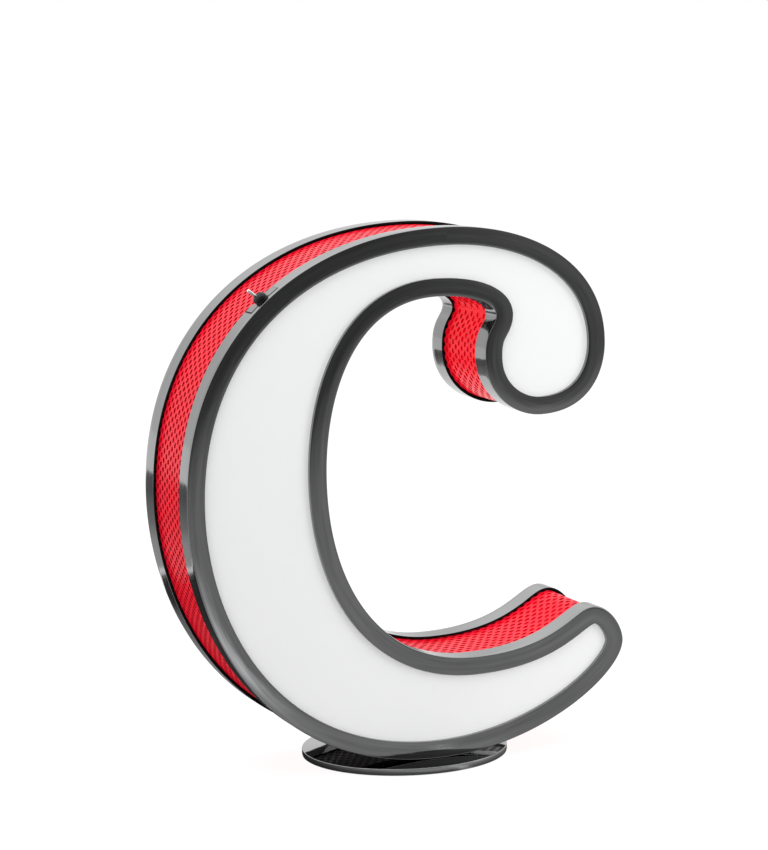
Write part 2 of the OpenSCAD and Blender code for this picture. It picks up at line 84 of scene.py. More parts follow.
# Letter outline, clockwise from the top as the front is seen. A row holds a turning point,
# the heading there in degrees, and how far the curve follows that heading on the way in and
# on the way out, as a share of the step.
BALL_REACH = 174 * MM
BALL_X = BALL_REACH - 113 * MM
COUNTER_TOP = LETTER_H - 59 * MM
FOOT_X = 10 * MM
FOOT_STROKE = 86 * MM
LOW_X = 45 * MM
TAIL_TOP = 120 * MM
TAIL_W = 27 * MM
TAIL_H = 32 * MM
TAIL_BEND = 17 * MM
TAIL_SHARE = 0.37
FOOT_SHARE = 0.54


def bend_reach(side):
    """Handle length that leaves the tail's least bend radius at a turning point."""
    return math.sqrt(2 / 3 * side * TAIL_BEND)


TAIL_NEAR = bend_reach(TAIL_TOP - FOOT_STROKE) / (TAIL_REACH - TAIL_W - LOW_X)
TAIL_OVER = bend_reach(TAIL_H * (1 - TAIL_SHARE)) / TAIL_W
TAIL_UNDER = bend_reach((TAIL_REACH - FOOT_X) * (1 - FOOT_SHARE)) / (TAIL_TOP - TAIL_H)
TURNS = (
    (28 * MM, LETTER_H, 0, 0.58, 0.49),
    (BALL_REACH, LETTER_H - 106 * MM, 270, 0.69, 0.42),
    (BALL_REACH - 62 * MM, LETTER_H - 167 * MM, 180, 0.77, 0.46),
    (BALL_X, LETTER_H - 115 * MM, 90, 0.65, 0.69),
    (BALL_X + 11 * MM, COUNTER_TOP - 19 * MM, 90, 0.27, 0.40),
    (18 * MM, COUNTER_TOP, 180, 0.70, 0.74),
    (124 * MM - BACK_REACH, 251 * MM, 270, 0.46, 0.61),
    (LOW_X, FOOT_STROKE, 0, 0.61, 0.70),
    (TAIL_REACH - TAIL_W, TAIL_TOP, 0, TAIL_NEAR, TAIL_OVER),
    (TAIL_REACH, TAIL_TOP - TAIL_H, 270, TAIL_SHARE, TAIL_UNDER),
    (FOOT_X, 0, 180, FOOT_SHARE, 0.68),
    (-BACK_REACH, 233 * MM, 90, 0.48, 0.62),
)
OUTLINE_STEP = 3.4 * MM
OUTER_RUN = (9, 7)
INNER_RUN = (4, 5)

# Switch and inlet on the outline: step and share of that step
SWITCH_AT = (11, 0.531)
SWITCH_PIVOT = next(j["pos_m"] for j in frame["record"]["behaviour"]["joints"] if j["name"] == "lever_tilt")
NOTCH_L = 32 * MM
NOTCH_STRIP = 6.5 * MM
NOTCH_R = 1.6 * MM
# Black strips in the notch that paint the shade along its edges: width, end and rise.
SHADE_STRIP_W = 2 * MM
SHADE_STRIP_END = 1.4 * MM
SHADE_STRIP_RISE = 0.1 * MM
PLATE_FROM = 6.2 * MM
PLATE_DROP = 0.15 * MM
PIVOT_Z = 1 * MM
LEVER_LEAN = math.radians(13)
INLET_AT = (9, 0.3)
INLET_Y = FACE_Y - RETURN_D + 9 * MM
ROD_SPOTS = ((0, 0.25), (1, 0.3), (3, 0.1), (5, 0.15), (5, 0.75), (6, 0.5), (7, 0.45),
             (9, 0.1), (9, 0.72), (10, 0.3), (10, 0.65), (11, 0.1), (11, 0.85))

# Perforation of the band
HOLE_PITCH = 8 * MM
HOLE_D = 5 * MM
HOLE_ROWS = 13
HOLE_SIDES = 12
WELD = 0.04 * MM
SWITCH_GAP = 19 * MM
INLET_GAP = 12 * MM

SMOOTH_ANGLE = math.radians(32)


# Outline

def way(degrees):
    angle = math.radians(degrees)
    return np.array((math.cos(angle), math.sin(angle)))


def handles(step):
    """The four points of the curve from one turning point to the next."""
    a, b = TURNS[step % len(TURNS)], TURNS[(step + 1) % len(TURNS)]
    p, q, u, v = np.array(a[:2]), np.array(b[:2]), way(a[2]), way(b[2])
    return p, p + u * a[4] * abs((q - p) @ u), q - v * b[3] * abs((q - p) @ v), q


def spot(step, share):
    """Place on the outline and unit normal into the letter, as (x, z) pairs."""
    a, b, c, d = handles(step)
    t, r = share, 1 - share
    place = r ** 3 * a + 3 * r * r * t * b + 3 * r * t * t * c + t ** 3 * d
    drift = 3 * r * r * (b - a) + 6 * r * t * (c - b) + 3 * t * t * (d - c)
    drift = drift / np.linalg.norm(drift)
    return place + (0, LETTER_Z), np.array((drift[1], -drift[0]))


def step_length(step, start=0.0, end=1.0, parts=200):
    shares = np.linspace(start, end, parts + 1)
    places = np.array([spot(step, t)[0] for t in shares])
    return np.linalg.norm(np.diff(places, axis=0), axis=1).sum()


def share_at(step, share, distance):
    """Share of the step that lies a distance further along the outline."""
    shares = np.linspace(0, 1, 801)
    places = np.array([spot(step, t)[0] for t in shares])
    run = np.concatenate(([0], np.linalg.norm(np.diff(places, axis=0), axis=1).cumsum()))
    return float(np.interp(np.interp(share, shares, run) + distance, run, shares))


def shares_of(step, spacing=OUTLINE_STEP):
    count = max(6, math.ceil(step_length(step) / spacing))
    return [k / count for k in range(count)]


class Line:
    """Stations along the outline: places, inward normals and distances from the first."""

    def __init__(self, spots):
        self.spots = spots
        self.place = np.array([spot(i, t)[0] for i, t in spots])
        self.inward = np.array([spot(i, t)[1] for i, t in spots])
        hops = np.linalg.norm(np.diff(self.place, axis=0), axis=1)
        self.run = np.concatenate(([0], hops.cumsum()))

    def at(self, inset):
        return self.place + self.inward * inset


def whole_line(extra=()):
    spots = [(i, t) for i in range(len(TURNS)) for t in shares_of(i)]
    return Line(sorted(set(spots) | set(extra)))


def run_line(first, count):
    spots = [(i % len(TURNS), t) for i in range(first, first + count) for t in shares_of(i)]
    return Line(spots + [((first + count) % len(TURNS), 0.0)])


# Mesh helpers

def new_object(name, mesh):
    obj = bpy.data.objects.new(name, mesh)
    bpy.context.scene.collection.objects.link(obj)
    return obj


def finish_mesh(name, bm, angle=SMOOTH_ANGLE):
    """Turns a bmesh into an object with outward faces and sharp folds."""
    bmesh.ops.recalc_face_normals(bm, faces=bm.faces)
    mesh = bpy.data.meshes.new(name)
    bm.to_mesh(mesh)
    bm.free()
    mesh.shade_smooth()
    mesh.set_sharp_from_angle(angle=angle)
    return new_object(name, mesh)


def dress(obj, material, body="lamp", nodes=()):
    """Gives a finished piece its material, its body and the nodes that it stands for."""
    obj.data.materials.clear()
    obj.data.materials.append(material)
    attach(obj, body)
    if nodes:
        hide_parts(*nodes)


def sweep(name, line, profile):
    """Carries a closed profile round the closed outline. profile(station) lists (inset, y)."""
    bm = bmesh.new()
    uv = bm.loops.layers.uv.new("UVMap")
    rings, marks = [], []
    for k in range(len(line.place)):
        points = profile(k)
        x, z = line.place[k]
        nx, nz = line.inward[k]
        rings.append([bm.verts.new((x + nx * i, y, z + nz * i)) for i, y in points])
        gaps = [math.dist(a, b) for a, b in zip(points, points[1:] + points[:1])]
        marks.append([0.0] + list(np.cumsum(gaps)))
    total = line.run[-1] + math.dist(line.place[-1], line.place[0])
    count = len(rings)
    for k in range(count):
        after = (k + 1) % count
        u = (line.run[k], line.run[after] if after else total)
        size = len(rings[k])
        for j in range(size):
            nxt = (j + 1) % size
            face = bm.faces.new((rings[k][j], rings[after][j], rings[after][nxt], rings[k][nxt]))
            corners = ((u[0], marks[k][j]), (u[1], marks[k][j]),
                       (u[1], marks[k][j + 1]), (u[0], marks[k][j + 1]))
            for loop, corner in zip(face.loops, corners):
                loop[uv].uv = corner
    return finish_mesh(name, bm)


def arc(centre, radius, start, end, parts):
    """Points of an arc, angles in degrees."""
    cx, cy = centre
    angles = [math.radians(start + (end - start) * k / parts) for k in range(parts + 1)]
    return [(cx + radius * math.cos(a), cy + radius * math.sin(a)) for a in angles]


def lathe(name, profile, place, segments=48, ripple=(0, 0.0, 0.0)):
    """Turns a profile of (radius, height) about its own Z. ripple: count, depth, least radius."""
    flutes, depth, least = ripple
    bm = bmesh.new()
    rings = []
    for radius, height in profile:
        if radius < 1e-7:
            rings.append([bm.verts.new((0, 0, height))])
            continue
        ring = []
        for k in range(segments):
            angle = 2 * math.pi * k / segments
            cut = depth * (0.5 - 0.5 * math.cos(flutes * angle)) if radius >= least else 0
            ring.append(bm.verts.new(((radius - cut) * math.cos(angle),
                                      (radius - cut) * math.sin(angle), height)))
        rings.append(ring)
    for low, high in zip(rings, rings[1:]):
        for k in range(segments):
            corners = [low[k % len(low)], low[(k + 1) % len(low)],
                       high[(k + 1) % len(high)], high[k % len(high)]]
            corners = list(dict.fromkeys(corners))
            if len(corners) > 2:
                bm.faces.new(corners)
    bm.transform(place)
    return finish_mesh(name, bm)


def on_outline(at, y):
    """Frame on the outline: X along it, Y along the depth, Z outwards."""
    place, inward = spot(*at)
    out = Vector((-inward[0], 0, -inward[1]))
    along = Vector((-inward[1], 0, inward[0]))
    turn = Matrix((along, Vector((0, 1, 0)), out)).transposed().to_4x4()
    return Matrix.Translation((place[0], y, place[1])) @ turn


# Materials

def add(tree, kind, settings=None, **inputs):
    """Adds a node, sets its properties, and links or sets its inputs by name."""
    node = tree.nodes.new(kind)
    for key, value in (settings or {}).items():
        setattr(node, key, value)
    for key, value in inputs.items():
        target = node.inputs[int(key[1:]) if key[1:].isdigit() else key.replace("_", " ")]
        if isinstance(value, bpy.types.NodeSocket):
            tree.links.new(value, target)
        else:
            target.default_value = value
    return node


def shader_group(name, inputs, outputs, build):
    """A shader node group: inputs and outputs are (name, kind, default) rows."""
    tree = bpy.data.node_groups.new(name, "ShaderNodeTree")
    for row in inputs:
        made = tree.interface.new_socket(row[0], in_out="INPUT", socket_type=row[1])
        if len(row) > 2:
            made.default_value = row[2]
    for row in outputs:
        tree.interface.new_socket(row[0], in_out="OUTPUT", socket_type=row[1])
    source, sink = tree.nodes.new("NodeGroupInput"), tree.nodes.new("NodeGroupOutput")
    for key, value in build(tree, source.outputs).items():
        tree.links.new(value, sink.inputs[key])
    return tree


FLOAT, COLOR, VECTOR = "NodeSocketFloat", "NodeSocketColor", "NodeSocketVector"


def build_variation(tree, ins):
    """Two close colours that drift into each other, with a fine speckle."""
    cloud = add(tree, "ShaderNodeTexNoise", Vector=ins["Vector"], Scale=ins["Scale"], Detail=3.0)
    speck = add(tree, "ShaderNodeTexNoise", Vector=ins["Vector"], Scale=ins["Speckle"], Detail=2.0)
    both = add(tree, "ShaderNodeMath", {"operation": "MULTIPLY_ADD"}, i0=speck.outputs[0], i1=0.35,
               i2=cloud.outputs[0])
    share = add(tree, "ShaderNodeMapRange", Value=both.outputs[0], i1=0.45, i2=0.9)
    mix = add(tree, "ShaderNodeMix", {"data_type": "RGBA"}, Factor=share.outputs[0])
    tree.links.new(ins["Colour A"], mix.inputs[6])
    tree.links.new(ins["Colour B"], mix.inputs[7])
    return {"Colour": mix.outputs[2], "Mask": share.outputs[0]}


def build_streaks(tree, ins):
    """Polishing marks that run along the sheet, for roughness and bump."""
    long = add(tree, "ShaderNodeMapping", Vector=ins["Vector"])
    long.inputs["Scale"].default_value = (9, 420, 420)
    fine = add(tree, "ShaderNodeTexNoise", Vector=long.outputs[0], Scale=1.0, Detail=4.0)
    broad = add(tree, "ShaderNodeMapping", Vector=ins["Vector"])
    broad.inputs["Scale"].default_value = (16, 60, 60)
    wave = add(tree, "ShaderNodeTexNoise", Vector=broad.outputs[0], Scale=1.0, Detail=2.0)
    rough = add(tree, "ShaderNodeMapRange", Value=fine.outputs[0], i1=0.3, i2=0.75,
                i3=ins["Smooth"], i4=ins["Rough"])
    height = add(tree, "ShaderNodeMath", {"operation": "MULTIPLY_ADD"}, i0=fine.outputs[0], i1=0.1,
                 i2=wave.outputs[0])
    return {"Roughness": rough.outputs[0], "Height": height.outputs[0], "Cloud": wave.outputs[0]}


VARIATION = shader_group(
    "Colour drift",
    (("Vector", VECTOR), ("Scale", FLOAT, 20.0), ("Speckle", FLOAT, 400.0),
     ("Colour A", COLOR, (0.5, 0.5, 0.5, 1)), ("Colour B", COLOR, (0.5, 0.5, 0.5, 1))),
    (("Colour", COLOR), ("Mask", FLOAT)), build_variation)
STREAKS = shader_group(
    "Polishing marks",
    (("Vector", VECTOR), ("Smooth", FLOAT, 0.1), ("Rough", FLOAT, 0.2)),
    (("Roughness", FLOAT), ("Height", FLOAT), ("Cloud", FLOAT)), build_streaks)


def new_material(name):
    material = bpy.data.materials.new(name)
    material.use_nodes = True
    tree = material.node_tree
    return material, tree, tree.nodes["Principled BSDF"]


def place_group(tree, group, **inputs):
    return add(tree, "ShaderNodeGroup", {"node_tree": group}, **inputs)


def polished_metal(name, dark, light, smooth, rough, bump, coords="Object", stretch=(14, 14), calm=0.0):
    """Polished metal with soft marks. stretch: how often the tone changes in a metre, along and across.

    calm: distance from the start of the sheet's section up to which the tone stays even."""
    material, tree, shader = new_material(name)
    where = add(tree, "ShaderNodeTexCoord").outputs[coords]
    marks = place_group(tree, STREAKS, Vector=where, Smooth=smooth, Rough=rough)
    drawn = add(tree, "ShaderNodeMapping", Vector=where)
    drawn.inputs["Scale"].default_value = (stretch[0], stretch[1], stretch[1])
    drift = place_group(tree, VARIATION, Vector=drawn.outputs[0], Scale=1.0, Speckle=4.0,
                        Colour_A=(*dark, 1), Colour_B=(*light, 1))
    relief = add(tree, "ShaderNodeBump", Height=marks.outputs["Height"], Strength=1.0, Distance=bump)
    colour = drift.outputs["Colour"]
    if calm:
        across = add(tree, "ShaderNodeSeparateXYZ", Vector=where).outputs["Y"]
        drawn_on = add(tree, "ShaderNodeMapRange", Value=across, i1=calm - 2 * MM, i2=calm + 2 * MM)
        middle = [(a + b) / 2 for a, b in zip(dark, light)]
        tone = add(tree, "ShaderNodeMix", {"data_type": "RGBA"}, Factor=drawn_on.outputs[0], i6=(*middle, 1))
        tree.links.new(colour, tone.inputs[7])
        colour = tone.outputs[2]
    tree.links.new(colour, shader.inputs["Base Color"])
    tree.links.new(marks.outputs["Roughness"], shader.inputs["Roughness"])
    tree.links.new(relief.outputs["Normal"], shader.inputs["Normal"])
    shader.inputs["Metallic"].default_value = 1.0
    return material


def moulded(name, dark, light, rough, bump=0.00002, scale=30.0, speckle=900.0, specular=0.5, mirrored=None):
    """Plastic, rubber or paint with a drift of colour and a fine grain.

    mirrored: painted reflection, the colour that reflections in metal show of it in place of its own colour."""
    material, tree, shader = new_material(name)
    where = add(tree, "ShaderNodeTexCoord").outputs["Object"]
    drift = place_group(tree, VARIATION, Vector=where, Scale=scale, Speckle=speckle,
                        Colour_A=(*dark, 1), Colour_B=(*light, 1))
    grain = add(tree, "ShaderNodeTexNoise", Vector=where, Scale=speckle, Detail=3.0)
    relief = add(tree, "ShaderNodeBump", Height=grain.outputs[0], Strength=1.0, Distance=bump)
    wear = add(tree, "ShaderNodeMapRange", Value=drift.outputs["Mask"], i3=rough * 0.85, i4=rough * 1.15)
    colour = drift.outputs["Colour"]
    # Painted reflection: rays that bounce off metal see the mirrored colour, not the material's own.
    if mirrored:
        seen = add(tree, "ShaderNodeMix", {"data_type": "RGBA"},
                   Factor=add(tree, "ShaderNodeLightPath").outputs["Is Glossy Ray"], i7=(*mirrored, 1))
        tree.links.new(colour, seen.inputs[6])
        colour = seen.outputs[2]
    tree.links.new(colour, shader.inputs["Base Color"])
    tree.links.new(colour, shader.inputs["Emission Color"])
    tree.links.new(wear.outputs[0], shader.inputs["Roughness"])
    tree.links.new(relief.outputs["Normal"], shader.inputs["Normal"])
    shader.inputs["Specular IOR Level"].default_value = specular
    return material


def paint_shade(material, attribute, share):
    """Paints shade: darkens a material's colour to a share where an attribute of the mesh is one."""
    tree = material.node_tree
    shader = tree.nodes["Principled BSDF"]
    colour = shader.inputs["Base Color"].links[0].from_socket
    mark = add(tree, "ShaderNodeAttribute", {"attribute_name": attribute})
    dark = add(tree, "ShaderNodeMix", {"data_type": "RGBA", "blend_type": "MULTIPLY"},
               Factor=mark.outputs["Fac"], i7=(share, share, share, 1))
    tree.links.new(colour, dark.inputs[6])
    tree.links.new(dark.outputs[2], shader.inputs["Base Color"])
    tree.links.new(dark.outputs[2], shader.inputs["Emission Color"])


def paint_light_glow(material, low, high, start, end, along):
    """Paints light as glow: the material glows with its own colour, from low to high between two distances
    along a direction.
    """
    tree = material.node_tree
    where = add(tree, "ShaderNodeTexCoord").outputs["Object"]
    reach = add(tree, "ShaderNodeVectorMath", {"operation": "DOT_PRODUCT"}, i0=where, i1=along)
    lit = add(tree, "ShaderNodeMapRange", Value=reach.outputs["Value"], i1=start, i2=end, i3=low, i4=high)
    tree.links.new(lit.outputs[0], tree.nodes["Principled BSDF"].inputs["Emission Strength"])


# Frames: the tone drifts in long streaks along the sheet, partly polish marks and partly painted streaks of
# reflection.
DARK_CHROME = polished_metal("dark_chrome", (0.205, 0.207, 0.21), (0.3, 0.302, 0.306), 0.06, 0.13, 0.00016,
                             "UV", (7, 200), RETURN_D)
BASE_CHROME = polished_metal("base_chrome", (0.34, 0.342, 0.346), (0.4, 0.402, 0.406), 0.04, 0.07, 0.00003)
PLATE_CHROME = polished_metal("plate_chrome", (0.16, 0.162, 0.165), (0.22, 0.222, 0.226), 0.1, 0.16, 0.00002)
BRIGHT_CHROME = polished_metal("bright_chrome", (0.92, 0.925, 0.93), (0.96, 0.965, 0.97), 0.28, 0.36, 0.00001)
PLAIN_STEEL = polished_metal("plain_steel", (0.5, 0.51, 0.52), (0.62, 0.63, 0.64), 0.28, 0.42, 0.00002)
MILL_ALUMINIUM = polished_metal("mill_aluminium", (0.7, 0.71, 0.72), (0.8, 0.81, 0.82), 0.3, 0.45, 0.00002)
SWITCH_BRASS = polished_metal("switch_brass", (0.66, 0.45, 0.18), (0.78, 0.57, 0.27), 0.2, 0.32, 0.00001)
OPAL = moulded("opal_acrylic", (0.556, 0.559, 0.56), (0.564, 0.567, 0.568), 0.5, 0.000001, 5.0, 160.0,
               specular=0.1)
# Red band paint: its reflections in metal are painted dark grey.
RED_PAINT = moulded("red_gloss_paint", (0.82, 0.008, 0.024), (0.87, 0.012, 0.034), 0.26, 0.000008, 25.0,
                    700.0, specular=0.05, mirrored=(0.06, 0.06, 0.062))
# Red liner: its reflections in metal are painted near black.
LINER_RED = moulded("liner_red_satin", (0.78, 0.003, 0.016), (0.82, 0.004, 0.02), 0.5, specular=0.1,
                    mirrored=(0.012, 0.012, 0.013))
# Painted shade on the walls of the band's holes.
paint_shade(RED_PAINT, "wall", 0.4)
# Opal faces: glow that is partly the lamp's own light and partly painted light, brighter to the right and
# upwards.
paint_light_glow(OPAL, 0.365, 0.63, -180 * MM, 220 * MM, (1, 0, 0.12))
# Red band paint: glow of painted light, brighter towards +X.
paint_light_glow(RED_PAINT, 0.12, 0.5, -200 * MM, 100 * MM, (1, 0, 0))
# Red liner: glow of painted light, brighter towards +X.
paint_light_glow(LINER_RED, 0.1, 0.25, -200 * MM, 40 * MM, (1, 0, 0))
BLACK_RUBBER = moulded("black_rubber", (0.004, 0.004, 0.005), (0.008, 0.008, 0.009), 0.6, specular=0.1)
BLACK_GLOSS = moulded("black_gloss_plastic", (0.008, 0.008, 0.009), (0.014, 0.014, 0.015), 0.14,
                      specular=0.35)
WHITE_PLASTIC = moulded("white_plastic", (0.82, 0.82, 0.8), (0.88, 0.88, 0.86), 0.45)
BLUE_PLASTIC = moulded("blue_plastic", (0.03, 0.08, 0.16), (0.04, 0.1, 0.2), 0.4)
WIRE = moulded("wire_insulation", (0.014, 0.014, 0.015), (0.024, 0.024, 0.025), 0.5)
SLOT_MATERIAL = {
    "black_chrome": BASE_CHROME, "opal_acrylic": OPAL, "red_paint": RED_PAINT,
    "dark_red_paint": LINER_RED, "black_rubber": BLACK_RUBBER, "steel": PLAIN_STEEL,
    "aluminium": MILL_ALUMINIUM, "white_plastic": WHITE_PLASTIC, "wire": WIRE,
    "blue_plastic": BLUE_PLASTIC, "black_plastic": BLACK_GLOSS, "bright_chrome": BRIGHT_CHROME,
    "brass": SWITCH_BRASS,
}
# The tie rods take the red liner paint, with its painted glow and its painted dark reflection.
NODE_MATERIAL = {"switch_boot": BLACK_GLOSS, "tie_rods": LINER_RED}


# Carried-over nodes

def dress_nodes():
    for row in frame["record"]["subparts"]:
        mesh = frame["nodes"][row["node"]].data
        mesh.materials.clear()
        mesh.materials.append(NODE_MATERIAL.get(row["node"], SLOT_MATERIAL[row["material_slot"]]))


# Frames

def notch_spots():
    """Extra stations at the ends and corners of the switch notch, and where they lie."""
    step, share = SWITCH_AT
    inside = [0.0] + [NOTCH_R * k / 5 for k in range(1, 6)]
    offsets = [side * (NOTCH_L / 2 - d) for side in (-1, 1) for d in inside]
    offsets += [side * (NOTCH_L / 2 + 0.02 * MM) for side in (-1, 1)]
    return {(step, share_at(step, share, d)): d for d in offsets}


def return_depth(distance):
    """Depth of the side return from the face, at a distance from the switch's middle."""
    inside = NOTCH_L / 2 - abs(distance)
    if inside < -0.01 * MM:
        return RETURN_D
    short = max(0.0, NOTCH_R - max(inside, 0.0))
    return NOTCH_STRIP + NOTCH_R - math.sqrt(NOTCH_R ** 2 - short ** 2)


def fold_radius(place):
    """Radius of the fold between face and return, at a place along the outline."""
    grown = [extra * math.exp(-((place - middle) / reach) ** 2) for middle, reach, extra in ROUND_FOLDS]
    return FOLD_R + sum(grown)


def frame_profile(depth, fold_r):
    """Section of a frame as (inset, depth from the face): return, face with a low crown, lip."""
    flat = FACE_W - LIP_R - fold_r
    crown = []
    for k in range(1, 8):
        side = k / 4 - 1
        crown.append((fold_r + flat * k / 8, FACE_CROWN * side * side))
    top = fold_r + FACE_CROWN
    side_rows = [(0.0, top + (depth - EDGE_R - top) * k / 4) for k in (4, 3, 2, 1)]
    fold = arc((fold_r, top), fold_r, 180, 270, 6)
    lip = arc((FACE_W - LIP_R, LIP_R + FACE_CROWN), LIP_R, 270, 360, 4)
    lip_end = FACE_Y - LENS_Y
    inner = [(FACE_W, lip_end - EDGE_R), (FACE_W - EDGE_R, lip_end), (FACE_W - SHEET, lip_end),
             (FACE_W - SHEET, fold_r + SHEET), (FACE_W - SHEET - 0.5 * fold_r, SHEET),
             (SHEET + fold_r, SHEET), (SHEET, fold_r + SHEET)]
    edge = [(SHEET, depth - EDGE_R), (SHEET - EDGE_R, depth), (EDGE_R, depth)]
    return side_rows + fold + crown + lip + inner + edge


def make_frames():
    notch = notch_spots()
    line = whole_line(notch)
    step, share = SWITCH_AT
    from_switch = []
    for s in line.spots:
        if s in notch:
            from_switch.append(notch[s])
        elif s[0] == step:
            sign = 1 if s[1] > share else -1
            from_switch.append(sign * step_length(step, min(share, s[1]), max(share, s[1])))
        else:
            from_switch.append(1.0)
    folds = [fold_radius(i + t) for i, t in line.spots]
    front = sweep("front_frame", line, lambda k: [
        (i, d - FACE_Y) for i, d in frame_profile(return_depth(from_switch[k]), folds[k])])
    rear = sweep("rear_frame", line, lambda k: [
        (i, FACE_Y - d) for i, d in frame_profile(RETURN_D, folds[k])])
    dress(front, DARK_CHROME, nodes=("front_trim",))
    dress(rear, DARK_CHROME, nodes=("rear_trim",))


# Lip of the rear seal over the raw edge of the return, partly seal and partly painted shade of the gap under
# the return, and the shields behind both seals

def make_seal_and_shade_lip():
    gap, lip = 0.1 * MM, 0.5 * MM
    edge = FACE_Y - RETURN_D
    under = SHEET + 3 * gap
    profile = [(gap, edge - lip), (under, edge - lip), (under, SEAL_Y), (SHEET + gap, SEAL_Y),
               (SHEET + gap, edge - EDGE_R / 2), (gap, edge - EDGE_R / 2)]
    # Black rubber lip: partly the seal's edge, partly painted shade where the gap under the rear return lies.
    dress(sweep("rear_seal_lip", whole_line(), lambda k: profile), BLACK_RUBBER)
    top, low, thick = BAND_INSET + 2.2 * MM, LENS_INSET - gap, 0.5 * MM
    shield = [(top, SEAL_Y), (low, SEAL_Y), (low, SEAL_Y + thick), (top, SEAL_Y + thick)]
    for name, side in (("front_shield", -1), ("rear_shield", 1)):
        ring = sweep(name, whole_line(), lambda k: [(i, side * y) for i, y in shield])
        # The shields take the red liner paint, with its painted glow.
        dress(ring, LINER_RED)


# Opal faces

def make_face(name, sign, node):
    line = whole_line()
    edge = 0.3 * MM
    bm = bmesh.new()
    rings = []
    rear_y = LENS_Y - LENS_T
    for inset, y in ((edge, LENS_Y), (0, LENS_Y - edge), (0, rear_y + edge), (edge, rear_y)):
        rings.append([bm.verts.new((x, sign * y, z)) for x, z in line.at(LENS_INSET + inset)])
    count = len(line.place)
    for a, b in zip(rings, rings[1:]):
        for k in range(count):
            bm.faces.new((a[k], a[(k + 1) % count], b[(k + 1) % count], b[k]))
    bm.faces.new(rings[0])
    bm.faces.new(rings[-1])
    dress(finish_mesh(name, bm), OPAL, nodes=(node,))


# Perforated band

def cell_outline(length, height):
    """Twelve points round a cell: corners, quarter points of the long sides, side middles."""
    x, y = length / 2, height / 2
    top = [(x, y), (x / 2, y), (0, y), (-x / 2, y), (-x, y)]
    return [(x, 0.0)] + top + [(-x, 0.0)] + [(-a, -b) for a, b in top]


def flat_cell(name, outer, inner=()):
    """One skin of a piece of band, with its hole if it has one."""
    bm = bmesh.new()
    rim = [bm.verts.new((x, y, 0)) for x, y in outer]
    hole = [bm.verts.new((x, y, 0)) for x, y in inner]
    count = len(rim)
    if inner:
        for k in range(count):
            bm.faces.new((rim[k], rim[(k + 1) % count], hole[(k + 1) % count], hole[k]))
    else:
        bm.faces.new(rim)
    mesh = bpy.data.meshes.new(name)
    bm.to_mesh(mesh)
    bm.free()
    return new_object(name, mesh)


OBJECT, INT = "NodeSocketObject", "NodeSocketInt"
MATERIAL, GEOMETRY = "NodeSocketMaterial", "NodeSocketGeometry"


def node_tree(name, inputs):
    """A geometry node tree with named inputs, its input sockets and its output node."""
    tree = bpy.data.node_groups.new(name, "GeometryNodeTree")
    tree.interface.new_socket("Geometry", in_out="INPUT", socket_type=GEOMETRY)
    for label, kind in inputs:
        tree.interface.new_socket(label, in_out="INPUT", socket_type=kind)
    tree.interface.new_socket("Geometry", in_out="OUTPUT", socket_type=GEOMETRY)
    return tree, tree.nodes.new("NodeGroupInput").outputs, tree.nodes.new("NodeGroupOutput")


def maths(tree, operation, *values):
    node = add(tree, "ShaderNodeMath", {"operation": operation})
    for target, value in zip(node.inputs, values):
        if isinstance(value, bpy.types.NodeSocket):
            tree.links.new(value, target)
        else:
            target.default_value = value
    return node.outputs[0]


